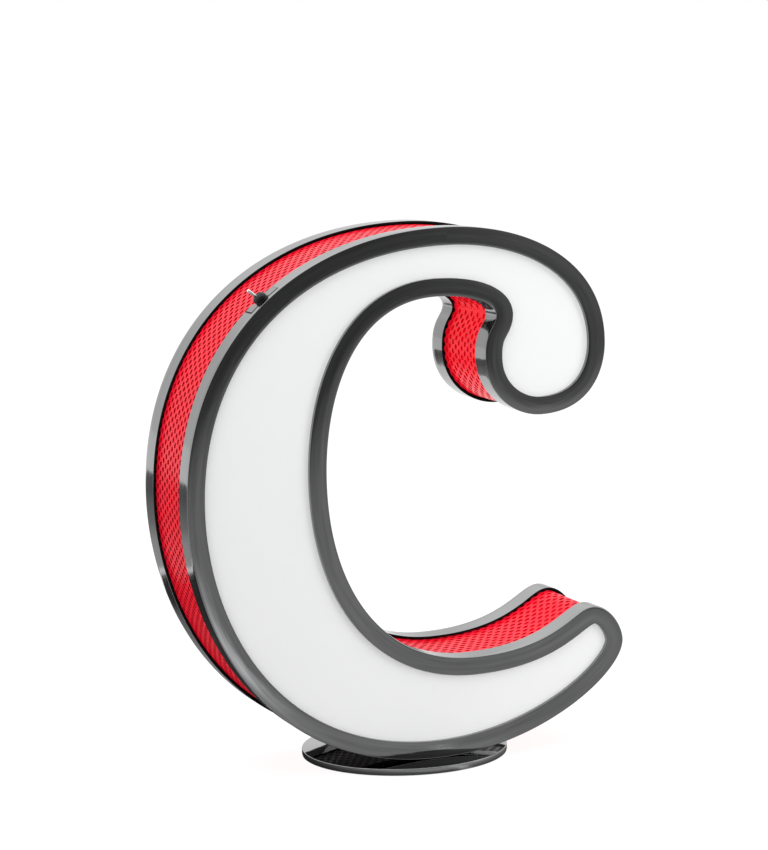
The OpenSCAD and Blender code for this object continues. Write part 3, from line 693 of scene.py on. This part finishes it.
def perforated_band_tree():
    """Cells with a round hole in staggered rows and plain edges, thickened and bent along a path."""
    tree, ins, out = node_tree("Perforated band", (
        ("Path", OBJECT), ("Cell", OBJECT), ("End cell", OBJECT), ("Edge", OBJECT), ("Pitch", FLOAT),
        ("Row step", FLOAT), ("Columns", INT), ("Rows", INT), ("Thickness", FLOAT), ("Front gap at", FLOAT),
        ("Rear gap at", FLOAT), ("Front gap", FLOAT), ("Rear gap", FLOAT), ("Material", MATERIAL)))

    def sums(operation, *values):
        return maths(tree, operation, *values)

    def shape(name):
        return add(tree, "GeometryNodeObjectInfo", Object=ins[name]).outputs["Geometry"]

    def put(points, instance, selection=1.0, turn=0.0):
        node = add(tree, "GeometryNodeInstanceOnPoints", Points=points, Instance=instance)
        node.inputs["Rotation"].default_value = (0, 0, turn)
        tree.links.new(sums("ADD", selection, 0.0), node.inputs["Selection"])
        return node.outputs[0]

    def place():
        where = add(tree, "GeometryNodeInputPosition").outputs[0]
        return add(tree, "ShaderNodeSeparateXYZ", Vector=where).outputs

    def near(side):
        off = sums("ABSOLUTE", sums("SUBTRACT", place()["X"], ins[side + " gap at"]))
        return sums("LESS_THAN", off, ins[side + " gap"])

    def spread(count, start, offset):
        node = add(tree, "GeometryNodeMeshLine", {"mode": "OFFSET"}, Count=count)
        for name, (x, y) in (("Start Location", start), ("Offset", offset)):
            tree.links.new(add(tree, "ShaderNodeCombineXYZ", X=x, Y=y).outputs[0], node.inputs[name])
        return node.outputs[0]

    length = sums("MULTIPLY", ins["Pitch"], ins["Columns"])
    half_width = sums("MULTIPLY", sums("MULTIPLY", ins["Row step"], ins["Rows"]), 0.5)
    half_pitch = sums("MULTIPLY", ins["Pitch"], 0.5)
    quarter = sums("MULTIPLY", ins["Pitch"], 0.25)

    # Rows of cells, every second one half a pitch further on
    grid = add(tree, "GeometryNodeMeshGrid", Vertices_X=ins["Columns"], Vertices_Y=ins["Rows"])
    tree.links.new(sums("SUBTRACT", length, ins["Pitch"]), grid.inputs["Size X"])
    tree.links.new(sums("SUBTRACT", sums("MULTIPLY", half_width, 2), ins["Row step"]), grid.inputs["Size Y"])
    from_edge = sums("DIVIDE", sums("ADD", place()["Y"], half_width), ins["Row step"])
    row = sums("FLOOR", from_edge)
    stagger = sums("MULTIPLY", sums("MODULO", row, 2), half_pitch)
    shift = add(tree, "ShaderNodeCombineXYZ", X=sums("ADD", sums("MULTIPLY", length, 0.5), stagger))
    cells = add(tree, "GeometryNodeSetPosition", Geometry=grid.outputs[0], Offset=shift.outputs[0])
    inside = sums("LESS_THAN", place()["X"], sums("SUBTRACT", length, quarter))
    front_row = sums("LESS_THAN", row, 0.5)
    rear_row = sums("GREATER_THAN", row, sums("SUBTRACT", ins["Rows"], 1.5))
    cut = sums("ADD", sums("MULTIPLY", front_row, near("Front")), sums("MULTIPLY", rear_row, near("Rear")))
    parts = [put(cells.outputs[0], shape("Cell"), sums("SUBTRACT", inside, cut))]

    # Half cells at both ends of the shifted rows
    shifted_start = sums("SUBTRACT", sums("MULTIPLY", ins["Row step"], 1.5), half_width)
    two_rows = sums("MULTIPLY", ins["Row step"], 2)
    shifted_rows = sums("FLOOR", sums("MULTIPLY", ins["Rows"], 0.5))
    for end in (quarter, sums("SUBTRACT", length, quarter)):
        ends = spread(shifted_rows, (end, shifted_start), (0.0, two_rows))
        parts.append(put(ends, shape("End cell")))

    # Plain edges
    for side, y, turn in (("Front", sums("MULTIPLY", half_width, -1), math.pi), ("Rear", half_width, 0.0)):
        points = spread(ins["Columns"], (half_pitch, y), (ins["Pitch"], 0.0))
        parts.append(put(points, shape("Edge"), sums("SUBTRACT", 1.0, near(side)), turn))
    joined = add(tree, "GeometryNodeJoinGeometry")
    for part in parts:
        tree.links.new(part, joined.inputs[0])
    flat = add(tree, "GeometryNodeRealizeInstances", Geometry=joined.outputs[0])
    skin = add(tree, "GeometryNodeMergeByDistance", Geometry=flat.outputs[0], Distance=WELD)

    # Thickness, then the bend along the path
    raised = add(tree, "GeometryNodeExtrudeMesh", {"mode": "FACES"}, Mesh=skin.outputs[0], Offset=(0, 0, 1),
                 Offset_Scale=ins["Thickness"], Individual=False)
    # Marks the hole walls, where the red paint gets painted shade.
    marked = add(tree, "GeometryNodeStoreNamedAttribute", {"data_type": "FLOAT", "domain": "FACE"},
                 Geometry=raised.outputs[0], Name="wall")
    tree.links.new(raised.outputs["Side"], marked.inputs["Value"])
    under = add(tree, "GeometryNodeFlipFaces", Mesh=skin.outputs[0])
    both = add(tree, "GeometryNodeJoinGeometry")
    tree.links.new(marked.outputs[0], both.inputs[0])
    tree.links.new(under.outputs[0], both.inputs[0])
    closed = add(tree, "GeometryNodeMergeByDistance", Geometry=both.outputs[0], Distance=WELD)
    where = place()
    path = add(tree, "GeometryNodeSampleCurve", {"mode": "LENGTH"}, Curves=shape("Path"), Length=where["X"])
    inward = add(tree, "ShaderNodeVectorMath", {"operation": "CROSS_PRODUCT"}, i0=(0, 1, 0),
                 i1=path.outputs["Tangent"])
    deep = add(tree, "ShaderNodeVectorMath", {"operation": "SCALE"}, i0=inward.outputs[0], Scale=where["Z"])
    across = add(tree, "ShaderNodeCombineXYZ", Y=where["Y"])
    side = add(tree, "ShaderNodeVectorMath", {"operation": "ADD"}, i0=deep.outputs[0], i1=across.outputs[0])
    bent = add(tree, "ShaderNodeVectorMath", {"operation": "ADD"}, i0=side.outputs[0],
               i1=path.outputs["Position"])
    shaped = add(tree, "GeometryNodeSetPosition", Geometry=closed.outputs[0], Position=bent.outputs[0])
    done = add(tree, "GeometryNodeSetMaterial", Geometry=shaped.outputs[0], Material=ins["Material"])
    tree.links.new(done.outputs[0], out.inputs[0])
    return tree


def run_tree(name, tree, values, base=None):
    """Evaluates a tree on a plain object and keeps the result as a mesh without the modifier."""
    host = base or new_object(name, bpy.data.meshes.new(name))
    modifier = host.modifiers.new("shape", "NODES")
    modifier.node_group = tree
    for item in tree.interface.items_tree:
        if item.in_out == "INPUT" and item.name in values:
            modifier[item.identifier] = values[item.name]
    bpy.context.view_layer.update()
    depsgraph = bpy.context.evaluated_depsgraph_get()
    mesh = bpy.data.meshes.new_from_object(host.evaluated_get(depsgraph))
    host.modifiers.remove(modifier)
    host.data = mesh
    mesh.name = name
    return host


def path_curve(name, places):
    curve = bpy.data.curves.new(name, "CURVE")
    curve.dimensions = "3D"
    spline = curve.splines.new("POLY")
    spline.points.add(len(places) - 1)
    for point, (x, z) in zip(spline.points, places):
        point.co = (x, 0, z, 1)
    return new_object(name, curve)


def turn_outwards(obj):
    """Turns the faces of a closed mesh outwards and marks its folds."""
    bm = bmesh.new()
    bm.from_mesh(obj.data)
    bmesh.ops.recalc_face_normals(bm, faces=bm.faces)
    bm.to_mesh(obj.data)
    bm.free()
    obj.data.shade_smooth()
    obj.data.set_sharp_from_angle(angle=SMOOTH_ANGLE)


def run_at(line, at):
    """Distance along a band line, at its own inset, of a spot on the outline."""
    places = line.at(BAND_INSET)
    runs = np.concatenate(([0], np.linalg.norm(np.diff(places, axis=0), axis=1).cumsum()))
    target, inward = spot(*at)
    near = np.argmin(np.linalg.norm(places - target - inward * BAND_INSET, axis=1))
    return float(runs[near])


def make_band(name, tree, run, node, gaps):
    line = run_line(*run)
    places = line.at(BAND_INSET)
    length = float(np.linalg.norm(np.diff(places, axis=0), axis=1).sum())
    columns = round(length / HOLE_PITCH)
    pitch = length / columns
    row_step = HOLE_PITCH * math.sqrt(3) / 2
    x, y = pitch / 2, row_step / 2
    end = x / 2
    plain = [(end, 0), (end, y), (0, y), (-end, y), (-end, 0), (-end, -y), (0, -y), (end, -y)]
    margin = BAND_Y - HOLE_ROWS * y
    strip = [(x, 0), (x, margin), (-x, margin), (-x, 0), (-end, 0), (0, 0), (end, 0)]
    helpers = {
        "Path": path_curve(name + "_path", places),
        "Cell": flat_cell(name + "_cell", cell_outline(pitch, row_step), arc((0, 0), HOLE_D / 2, 0, 360,
                                                                            HOLE_SIDES)[:-1]),
        "End cell": flat_cell(name + "_end", plain),
        "Edge": flat_cell(name + "_edge", strip),
    }
    front, rear = (run_at(line, at) if at else -1.0 for at in gaps)
    obj = run_tree(name, tree, {
        **helpers, "Pitch": pitch, "Row step": row_step, "Columns": columns, "Rows": HOLE_ROWS,
        "Thickness": BAND_T, "Front gap at": front, "Rear gap at": rear, "Front gap": SWITCH_GAP,
        "Rear gap": INLET_GAP, "Material": RED_PAINT})
    for helper in helpers.values():
        bpy.data.objects.remove(helper)
    turn_outwards(obj)
    dress(obj, RED_PAINT, nodes=(node,))


# Base

def make_base():
    radius, low, high = BASE_HIGH.x, BASE_LOW.z, BASE_HIGH.z
    bevel = 0.6 * MM
    profile = ([(0, low), (radius - bevel, low)] + arc((radius - bevel, low + bevel), bevel, -90, 0, 4)[1:]
               + arc((radius - bevel, high - bevel), bevel, 0, 90, 5) + [(radius * 0.6, high), (0, high)])
    base = lathe("base_disc", profile, Matrix.Identity(4), 160)
    dress(base, BASE_CHROME, nodes=("base_plate",))


# Switch

def make_switch():
    place = on_outline(SWITCH_AT, SWITCH_PIVOT[1])
    place.translation = Vector(SWITCH_PIVOT) - PIVOT_Z * place.col[2].to_3d()
    nut_r, nut_h, bore, chamfer = 5.7 * MM, 2.6 * MM, 3.05 * MM, 0.5 * MM
    flutes, flute_d = 36, 0.28 * MM
    nut = lathe("switch_ring_nut", [
        (bore, 0), (nut_r, 0), (nut_r, nut_h - chamfer), (nut_r - chamfer, nut_h), (bore, nut_h),
        (bore, 0)], place, 144, (flutes, flute_d, nut_r - 0.01 * MM))
    dress(nut, BLACK_GLOSS, nodes=("switch_nut",))
    swing = place @ Matrix.Translation((0, 0, PIVOT_Z)) @ Matrix.Rotation(-LEVER_LEAN, 4, "Y")
    ball, shank, tip, length, low_end = 2.2 * MM, 1.15 * MM, 1.5 * MM, 16 * MM, -5.9 * MM
    lever = lathe("switch_bat", [(0, low_end), (0.7 * MM, low_end), (0.9 * MM, -5.7 * MM)]
                  + arc((0, 0), ball, -65, 55, 10)
                  + [(shank, ball * 1.02), (shank, 5 * MM), (shank + 0.1 * MM, 7.5 * MM),
                     (tip - 0.05 * MM, length - 2.4 * MM)]
                  + arc((0, length - tip), tip, 0, 90, 6)[:-1] + [(0, length)], swing, 32)
    dress(lever, BRIGHT_CHROME, "lever", ("switch_lever",))
    make_notch()


def notch_bars(name, bars, top, under):
    """Bars that follow the outline in the notch. A bar: offsets from the switch, front and back."""
    step, share = SWITCH_AT
    bm = bmesh.new()
    for offsets, low, high in bars:
        rings = []
        for offset in offsets:
            (x, z), (nx, nz) = spot(step, share_at(step, share, float(offset)))
            section = ((top, low), (top, high), (under, high), (under, low))
            rings.append([bm.verts.new((x + nx * i, y, z + nz * i)) for i, y in section])
        for a, b in zip(rings, rings[1:]):
            for k in range(4):
                bm.faces.new((a[k], a[(k + 1) % 4], b[(k + 1) % 4], b[k]))
        bm.faces.new(rings[0])
        bm.faces.new(rings[-1])
    return finish_mesh(name, bm)


def make_notch():
    """Black rubber strips on two sides of the notch, which paint the shade along these edges, and the plate's
    two ends beside the switch.
    """
    half, inside = NOTCH_L / 2, NOTCH_L / 2 - SHADE_STRIP_END
    front, back = NOTCH_STRIP - FACE_Y, RETURN_D - FACE_Y
    shade_strips = [(np.linspace(-half, half, 9), front, front + SHADE_STRIP_W),
              ((-half, -inside), front + SHADE_STRIP_W, back)]
    # Painted shade: black strips along the notch's strip side and one end.
    dress(notch_bars("notch_lining", shade_strips, -SHADE_STRIP_RISE, SHEET + 0.6 * MM), BLACK_RUBBER)
    gap = 0.1 * MM
    ends = [(np.linspace(a, b, 5), front + SHADE_STRIP_W + gap, back)
            for a, b in ((gap - inside, -PLATE_FROM), (PLATE_FROM, half - gap))]
    dress(notch_bars("switch_plate_ends", ends, PLATE_DROP, PLATE_DROP + SHEET), PLATE_CHROME)


# Screws on the rear frame

def screw_head(name):
    shank, length, recess, floor = 1.25 * MM, 8 * MM, 0.8 * MM, 0.45 * MM
    head = [(0, floor), (recess, floor), (recess, 1.3 * MM), (1.3 * MM, 1.38 * MM)]
    head += [(1.75 * MM, 1.28 * MM), (2.2 * MM, 0.95 * MM), (2.45 * MM, 0.5 * MM), (2.5 * MM, 0),
             (shank, 0), (shank, -length), (0, -length)]
    return lathe(name, head, Matrix.Rotation(math.radians(-90), 4, "X"), 24)


def screw_tree():
    """A screw on each point."""
    tree, ins, out = node_tree("Frame screws", (("Screw", OBJECT), ("Material", MATERIAL)))
    shape = add(tree, "GeometryNodeObjectInfo", Object=ins["Screw"])
    put = add(tree, "GeometryNodeInstanceOnPoints", Points=ins["Geometry"],
              Instance=shape.outputs["Geometry"])
    solid = add(tree, "GeometryNodeRealizeInstances", Geometry=put.outputs[0])
    done = add(tree, "GeometryNodeSetMaterial", Geometry=solid.outputs[0], Material=ins["Material"])
    tree.links.new(done.outputs[0], out.inputs[0])
    return tree


def make_screws():
    places = [spot(*at)[0] + spot(*at)[1] * ROD_INSET for at in ROD_SPOTS]
    mesh = bpy.data.meshes.new("frame_screw_spots")
    mesh.from_pydata([(x, FACE_Y, z) for x, z in places], [], [])
    head = screw_head("frame_screw_shape")
    obj = run_tree("rear_frame_screws", screw_tree(), {"Screw": head, "Material": BASE_CHROME},
                   new_object("rear_frame_screws", mesh))
    bpy.data.objects.remove(head)
    dress(obj, BASE_CHROME, nodes=("frame_screws",))


# Inlet

def make_inlet():
    place = on_outline(INLET_AT, INLET_Y)
    seat, flange_t, flange_r = 0.05 * MM, 2 * MM, 5.5 * MM
    barrel_r, barrel_l, socket_r, socket_l = 4 * MM, 10.5 * MM, 2.85 * MM, 9 * MM
    top = seat + flange_t
    body = lathe("inlet_socket", [
        (0, -barrel_l), (barrel_r, -barrel_l), (barrel_r, seat), (5.2 * MM, seat), (flange_r, seat + 0.3 * MM),
        (flange_r, top - 0.5 * MM), (5 * MM, top), (3.2 * MM, top), (socket_r, top - 0.35 * MM),
        (socket_r, top - socket_l), (0, top - socket_l)], place, 48)
    dress(body, BLACK_GLOSS, nodes=("inlet_body",))


# Stage, light and camera
SKY_RISE = (0.26, 0.42)
SKY_GLOW = (0.88, 1.35)
SOFT_LIGHT = 0.7
FLOOR_GREY = 0.2
FLOOR_GLOW = 0.9
FLOOR_BOUNCE = 0.6
FLOOR_REACH = 30.0
WALL_Y = -2.7


def seen_directly(tree):
    """One for camera, glossy and transmission rays."""
    path = add(tree, "ShaderNodeLightPath")
    seen = maths(tree, "MAXIMUM", path.outputs["Is Camera Ray"], path.outputs["Is Glossy Ray"])
    return maths(tree, "MAXIMUM", seen, path.outputs["Is Transmission Ray"])


def make_world():
    """Even light for matt surfaces, and for reflections a sky that brightens upwards."""
    world = bpy.data.worlds.new("studio")
    bpy.context.scene.world = world
    world.use_nodes = True
    tree = world.node_tree
    tree.nodes.clear()
    path = add(tree, "ShaderNodeLightPath")
    toward = add(tree, "ShaderNodeSeparateXYZ", Vector=add(tree, "ShaderNodeTexCoord").outputs["Generated"])
    sky = add(tree, "ShaderNodeMapRange", Value=toward.outputs["Z"], i1=SKY_RISE[0], i2=SKY_RISE[1],
              i3=SKY_GLOW[0], i4=SKY_GLOW[1])
    soft = add(tree, "ShaderNodeBackground", Color=(1, 1, 1, 1), Strength=SOFT_LIGHT)
    mirrored = add(tree, "ShaderNodeBackground", Color=(1, 1, 1, 1), Strength=sky.outputs[0])
    white = add(tree, "ShaderNodeBackground", Color=(1, 1, 1, 1), Strength=1.0)
    lit = add(tree, "ShaderNodeMixShader", i0=path.outputs["Is Glossy Ray"], i1=soft.outputs[0],
              i2=mirrored.outputs[0])
    mix = add(tree, "ShaderNodeMixShader", i0=path.outputs["Is Camera Ray"], i1=lit.outputs[0],
              i2=white.outputs[0])
    out = tree.nodes.new("ShaderNodeOutputWorld")
    tree.links.new(mix.outputs[0], out.inputs[0])


def make_floor():
    material = bpy.data.materials.new("pale_floor")
    material.use_nodes = True
    tree = material.node_tree
    tree.nodes.clear()
    soft = add(tree, "ShaderNodeBsdfDiffuse", Color=(FLOOR_GREY, FLOOR_GREY, FLOOR_GREY, 1))
    glow = add(tree, "ShaderNodeEmission", Color=(1, 1, 1, 1), Strength=FLOOR_GLOW)
    lit = add(tree, "ShaderNodeAddShader", i0=soft.outputs[0], i1=glow.outputs[0])
    plain = add(tree, "ShaderNodeBsdfDiffuse", Color=(FLOOR_BOUNCE, FLOOR_BOUNCE, FLOOR_BOUNCE, 1))
    mix = add(tree, "ShaderNodeMixShader", i0=seen_directly(tree), i1=plain.outputs[0], i2=lit.outputs[0])
    out = tree.nodes.new("ShaderNodeOutputMaterial")
    tree.links.new(mix.outputs[0], out.inputs[0])
    far = FLOOR_REACH
    mesh = bpy.data.meshes.new("floor")
    mesh.from_pydata([(-far, -far, 0), (far, -far, 0), (far, far, 0), (-far, far, 0)], [], [(0, 1, 2, 3)])
    mesh.materials.append(material)
    new_object("floor", mesh)


def card_material():
    """Plain glow whose strength is painted on the card's points."""
    material = bpy.data.materials.new("studio_card")
    material.use_nodes = True
    tree = material.node_tree
    tree.nodes.clear()
    shade = add(tree, "ShaderNodeAttribute", {"attribute_name": "shade"})
    glow = add(tree, "ShaderNodeEmission", Color=(1, 1, 1, 1), Strength=shade.outputs["Fac"])
    out = tree.nodes.new("ShaderNodeOutputMaterial")
    tree.links.new(glow.outputs[0], out.inputs[0])
    return material


def make_card(name, rows, material, round_trip=False):
    """A shaded card that only reflections see. rows: equal rows of (x, y, z, shade)."""
    size = len(rows[0])
    mesh = bpy.data.meshes.new(name)
    last = size if round_trip else size - 1
    faces = [(r * size + k, r * size + (k + 1) % size, (r + 1) * size + (k + 1) % size, (r + 1) * size + k)
             for r in range(len(rows) - 1) for k in range(last)]
    points = [point for row in rows for point in row]
    mesh.from_pydata([point[:3] for point in points], [], faces)
    shade = mesh.attributes.new("shade", "FLOAT", "POINT")
    shade.data.foreach_set("value", [point[3] for point in points])
    mesh.materials.append(material)
    obj = new_object(name, mesh)
    obj.visible_camera = False
    obj.visible_diffuse = False
    obj.visible_shadow = False
    obj.visible_transmission = False


def make_lamp(name, place, target, size, power):
    light = bpy.data.lights.new(name, "AREA")
    light.shape = "RECTANGLE"
    light.size, light.size_y = size
    light.energy = power
    obj = new_object(name, light)
    obj.location = place
    obj.rotation_euler = (Vector(target) - Vector(place)).to_track_quat("-Z", "Y").to_euler()
    obj.visible_glossy = False
    obj.visible_camera = False


def make_cards():
    """Cards on and over the floor, which give the polished sheet its light and dark places."""
    material = card_material()
    low = 1 * MM
    front_x = (-2.5, 0.2, 1.0, 2.5)
    front = ((-0.1, (0.55, 0.48, 0.46, 0.46)), (-1.2, (0.42, 0.44, 0.5, 0.5)),
             (-1.9, (0.22, 0.3, 0.42, 0.44)), (-2.7, (0.1, 0.12, 0.2, 0.26)))
    make_card("front_floor_card", [[(x, y, low, s) for x, s in zip(front_x, shades)] for y, shades in front],
              material)
    wall_x = (-5.0, 0.9, 1.3, 5.0)
    wall = ((0.0, (0.1, 0.1, 0.2, 0.25)), (0.3, (0.1, 0.1, 0.24, 0.26)), (3.0, (0.1, 0.1, 0.2, 0.2)))
    make_card("front_wall_card", [[(x, WALL_Y, z, s) for x, s in zip(wall_x, shades)] for z, shades in wall],
              material)
    near = ((0.1, 0.06, 0.3), (0.2, -0.01, 0.3), (0.3, -0.1, 0.4), (0.42, -0.14, 0.4), (0.6, -0.17, 0.1))
    make_card("near_rear_card", [[(x - 0.7, y, low, 0.04), (x - 0.1, y, low, 0.04), (x, y, low, s)]
                                 for y, x, s in near], material)
    streak = ((-0.15, -0.06, 0.5), (-0.26, -0.07, 0.65), (-0.35, -0.07, 1.0), (-0.45, -0.06, 1.8),
              (-0.55, -0.06, 2.0), (-0.7, -0.045, 1.4), (-0.85, -0.02, 1.0), (-1.1, 0.0, 0.5))
    over = 2 * low
    make_card("left_streak_card", [[(x - 0.07, y, over, 0.5), (x, y, over, s), (x + 0.06, y, over, 0.5)]
                                   for y, x, s in streak], material)
    far = ((0.64, -0.22, 0.5), (0.85, -0.22, 0.5), (1.05, -0.2, 0.3), (1.7, -0.4, 0.16), (2.5, -0.8, 0.16))
    make_card("far_rear_card", [[(x - 0.7, y, low, s), (x, y, low, s)] for y, x, s in far], material)
    rings = [(BASE_HIGH.x + r * MM, s) for r, s in ((0.5, 0.1), (12, 0.3), (25, 0.55), (60, 0.6))]
    parts = 96
    turns = [2 * math.pi * k / parts - math.pi for k in range(parts)]
    shades = [0.6 + 0.5 * math.cos(a + 0.7) + 2.2 * math.exp(-((a + 1.29) / 0.07) ** 2) for a in turns]
    rows = [[(r * math.cos(a), r * math.sin(a), low, s * t) for a, t in zip(turns, shades)] for r, s in rings]
    make_card("base_ring_card", rows, material, True)


def make_stage():
    make_world()
    make_floor()
    make_cards()
    middle = (0, 0, 0.25)
    make_lamp("top_softbox", (0, -0.3, 2.2), middle, (2.4, 2.4), 30)
    make_lamp("left_softbox", (-2.2, -1.4, 1.2), middle, (1.6, 1.8), 15)
    make_lamp("right_softbox", (2.0, -1.8, 1.0), middle, (1.6, 1.8), 22)


# Fitted view of the photograph: place and turn of the camera about the object
CAMERA_PLACE = Vector((-896.7, -2376.6, 627.9)) * MM
CAMERA_AIM = Vector((-10.24, 0, 293.23)) * MM
CAMERA_ROLL = math.radians(-1.618)
FOCAL_PIXELS = 2927.09
PICTURE_H = 850
PICTURE_SHIFT = 0.5
SENSOR = 36.0


def make_camera():
    camera = bpy.data.cameras.new("camera")
    camera.sensor_width = SENSOR
    camera.lens = FOCAL_PIXELS / PICTURE_H * SENSOR
    camera.shift_x = -PICTURE_SHIFT / PICTURE_H
    camera.shift_y = PICTURE_SHIFT / PICTURE_H
    camera.clip_end = 100
    obj = new_object("camera", camera)
    back = (CAMERA_PLACE - CAMERA_AIM).normalized()
    right = Vector((0, 0, 1)).cross(back).normalized()
    up = back.cross(right)
    turned_right = right * math.cos(CAMERA_ROLL) + up * math.sin(CAMERA_ROLL)
    turned_up = up * math.cos(CAMERA_ROLL) - right * math.sin(CAMERA_ROLL)
    turn = Matrix((turned_right, turned_up, back)).transposed().to_4x4()
    obj.matrix_world = Matrix.Translation(CAMERA_PLACE) @ turn
    bpy.context.scene.camera = obj


make_camera()
make_stage()
dress_nodes()
make_frames()
make_seal_and_shade_lip()
make_face("front_face", -1, "front_diffuser")
make_face("rear_face", 1, "rear_diffuser")
band_tree = perforated_band_tree()
make_band("outer_band", band_tree, OUTER_RUN, "outer_mesh", (SWITCH_AT, INLET_AT))
make_band("inner_band", band_tree, INNER_RUN, "inner_mesh", (None, None))
make_base()
make_switch()
make_screws()
make_inlet()

bpy.context.scene.view_settings.view_transform = "Standard"
